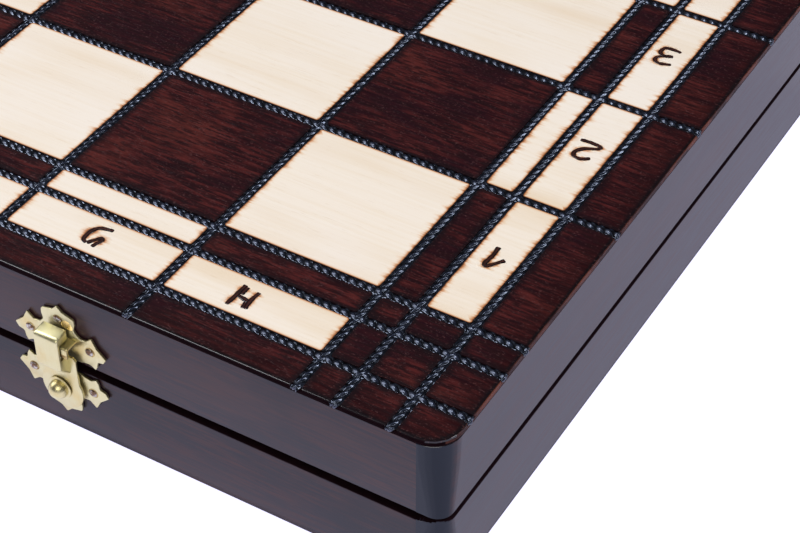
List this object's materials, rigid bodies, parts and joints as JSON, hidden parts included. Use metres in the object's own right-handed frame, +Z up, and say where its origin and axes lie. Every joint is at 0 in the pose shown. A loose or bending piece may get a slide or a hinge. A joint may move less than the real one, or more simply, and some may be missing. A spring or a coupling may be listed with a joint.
{
  "type": "folding chess set with board",
  "caption": "Folding wooden box whose outer faces form a chessboard when opened flat, with brass box latches, rear hinges and lined trays holding the chessmen.",
  "frame": {"origin": "centre of the closed box's underside, which is one half of the board", "axes": "+X along the files from a to h, +Y from the latched front to the hinged back, +Z up through the closed box"},
  "size_m": [0.483, 0.2486, 0.0506],
  "materials": {
    "board_wood": "dark stained veneer with bare birch squares and burned lines under semi-gloss lacquer",
    "side_wood": "black-brown stain under satin lacquer",
    "light_wood": "bare birch under clear lacquer",
    "burned_line": "burned and blackened roped line, glossy",
    "light_men": "turned pale wood under clear lacquer",
    "dark_men": "turned wood stained dark brown under lacquer",
    "tray_flock": "flocked foam",
    "brass": "pale plated brass, stamped sheet",
    "steel": "small nails, screws and hinge pins"
  },
  "bodies": {
    "lower_half": {"lower_board": "board_wood", "lower_front_wall": "side_wood", "lower_back_wall": "side_wood", "lower_left_wall": "side_wood", "lower_right_wall": "side_wood", "lower_tray": "tray_flock", "left_hinge_lower_leaf": "brass", "left_hinge_pin": "steel", "right_hinge_lower_leaf": "brass", "right_hinge_pin": "steel", "left_latch_base": "brass", "left_latch_rivet": "brass", "right_latch_base": "brass", "right_latch_rivet": "brass", "dark_rook_a": "dark_men", "dark_pawn_a": "dark_men", "dark_knight_b": "dark_men", "dark_pawn_b": "dark_men", "dark_bishop_c": "dark_men", "dark_pawn_c": "dark_men", "dark_queen": "dark_men", "dark_pawn_d": "dark_men", "dark_king": "dark_men", "dark_pawn_e": "dark_men", "dark_bishop_f": "dark_men", "dark_pawn_f": "dark_men", "dark_knight_g": "dark_men", "dark_pawn_g": "dark_men", "dark_rook_h": "dark_men", "dark_pawn_h": "dark_men"},
    "upper_half": {"upper_board": "board_wood", "upper_front_wall": "side_wood", "upper_back_wall": "side_wood", "upper_left_wall": "side_wood", "upper_right_wall": "side_wood", "upper_tray": "tray_flock", "left_hinge_upper_leaf": "brass", "right_hinge_upper_leaf": "brass", "left_latch_keeper": "brass", "right_latch_keeper": "brass", "light_rook_a": "light_men", "light_pawn_a": "light_men", "light_knight_b": "light_men", "light_pawn_b": "light_men", "light_bishop_c": "light_men", "light_pawn_c": "light_men", "light_queen": "light_men", "light_pawn_d": "light_men", "light_king": "light_men", "light_pawn_e": "light_men", "light_bishop_f": "light_men", "light_pawn_f": "light_men", "light_knight_g": "light_men", "light_pawn_g": "light_men", "light_rook_h": "light_men", "light_pawn_h": "light_men"},
    "left_lever": {"left_latch_lever": "brass"},
    "right_lever": {"right_latch_lever": "brass"}
  },
  "joints": [
    {"name": "lid_hinge", "type": "hinge", "parent": "lower_half", "child": "upper_half", "pos_m": [0, 0.12025, 0.0253], "axis": [-1, 0, 0], "range_deg": [0, 180]},
    {"name": "left_latch_swing", "type": "hinge", "parent": "lower_half", "child": "left_lever", "pos_m": [-0.1274, -0.121, 0.0166], "axis": [0, -1, 0], "range_deg": [0, 100]},
    {"name": "right_latch_swing", "type": "hinge", "parent": "lower_half", "child": "right_lever", "pos_m": [0.1274, -0.121, 0.0166], "axis": [0, -1, 0], "range_deg": [0, 100]}
  ]
}
